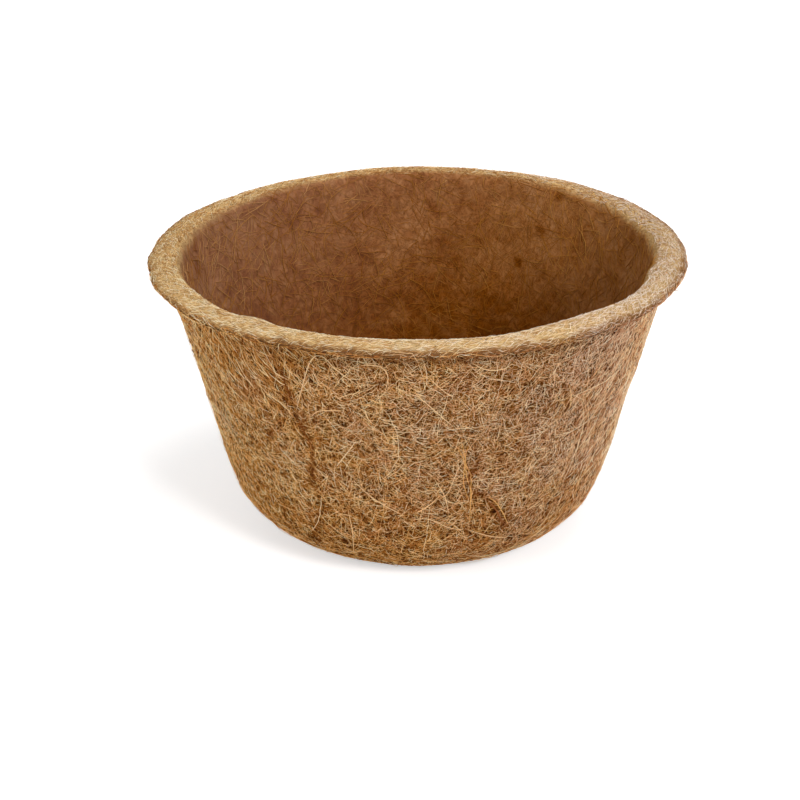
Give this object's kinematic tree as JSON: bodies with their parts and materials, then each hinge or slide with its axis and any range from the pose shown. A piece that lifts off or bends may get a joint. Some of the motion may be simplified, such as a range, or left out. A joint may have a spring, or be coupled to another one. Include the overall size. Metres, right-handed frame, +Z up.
{
  "type": "coir plant pot",
  "caption": "Round tapered plant pot pressed from latex-bonded coconut fibre felt, with a rounded heel, a flat base and a turned-out lip.",
  "frame": {"origin": "centre of the base, on the surface that the pot stands on", "axes": "+Z up along the pot's axis to the mouth, front towards -Y"},
  "size_m": [0.15, 0.15, 0.0825],
  "materials": {
    "coir_outer": "matte golden-brown coconut fibre mat, needled and latex bonded, loose curved strands on its face",
    "coir_inner": "matte red-brown coconut fibre felt, pressed smoother than the outside, straw-gold along the lip",
    "coir_base": "matte brown coconut fibre felt, pressed flat"
  },
  "bodies": {
    "root": {"outer_gore_1": "coir_outer", "outer_gore_2": "coir_outer", "outer_gore_3": "coir_outer", "outer_gore_4": "coir_outer", "outer_gore_5": "coir_outer", "outer_gore_6": "coir_outer", "base_disc": "coir_base", "inner_gore_1": "coir_inner", "inner_gore_2": "coir_inner", "inner_gore_3": "coir_inner", "inner_gore_4": "coir_inner", "inner_gore_5": "coir_inner", "inner_gore_6": "coir_inner", "floor_disc": "coir_inner"}
  },
  "joints": []
}
